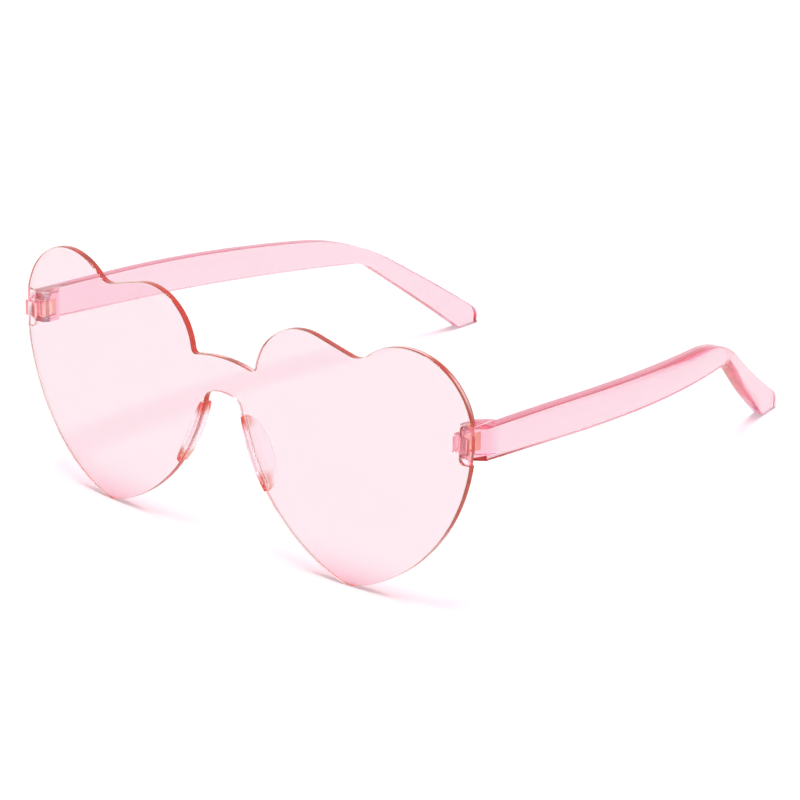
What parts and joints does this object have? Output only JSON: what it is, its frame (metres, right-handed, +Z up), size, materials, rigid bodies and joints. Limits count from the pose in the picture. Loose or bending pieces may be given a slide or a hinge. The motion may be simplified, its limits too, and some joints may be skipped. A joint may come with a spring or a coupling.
{
  "type": "heart shaped sunglasses",
  "caption": "Rimless sunglasses with a clear pink heart shaped shield lens, gripped nose pads, clip-in endpieces and folding temples with dropped ear tips.",
  "frame": {"origin": "on the surface it stands on, under the middle of the overall width and depth, with the temples open", "axes": "+Z up from that surface, -Y the way the wearer looks, +X to the wearer's left"},
  "size_m": [0.1464, 0.1536, 0.0604],
  "materials": {
    "lens_pink": "clear tinted polycarbonate, polished",
    "temple_pink": "clear tinted polycarbonate, moulded",
    "clip_pink": "clear tinted polycarbonate, moulded",
    "pad_pink": "clear tinted plastic, moulded",
    "screw_steel": "turned steel"
  },
  "bodies": {
    "front": {"lens_shield": "lens_pink", "nose_pad_left": "pad_pink", "nose_pad_right": "pad_pink", "endpiece_left": "clip_pink", "endpiece_right": "clip_pink"},
    "temple_left": {"temple_left": "temple_pink", "hinge_screw_left": "screw_steel"},
    "temple_right": {"temple_right": "temple_pink", "hinge_screw_right": "screw_steel"}
  },
  "joints": [
    {"name": "fold_left", "type": "hinge", "parent": "front", "child": "temple_left", "pos_m": [0.0684, -0.06675, 0.04113], "axis": [0, 0.0593, 0.9982], "range_deg": [0, 83]},
    {"name": "fold_right", "type": "hinge", "parent": "front", "child": "temple_right", "pos_m": [-0.0684, -0.06675, 0.04113], "axis": [0, -0.0593, -0.9982], "range_deg": [0, 75]}
  ]
}
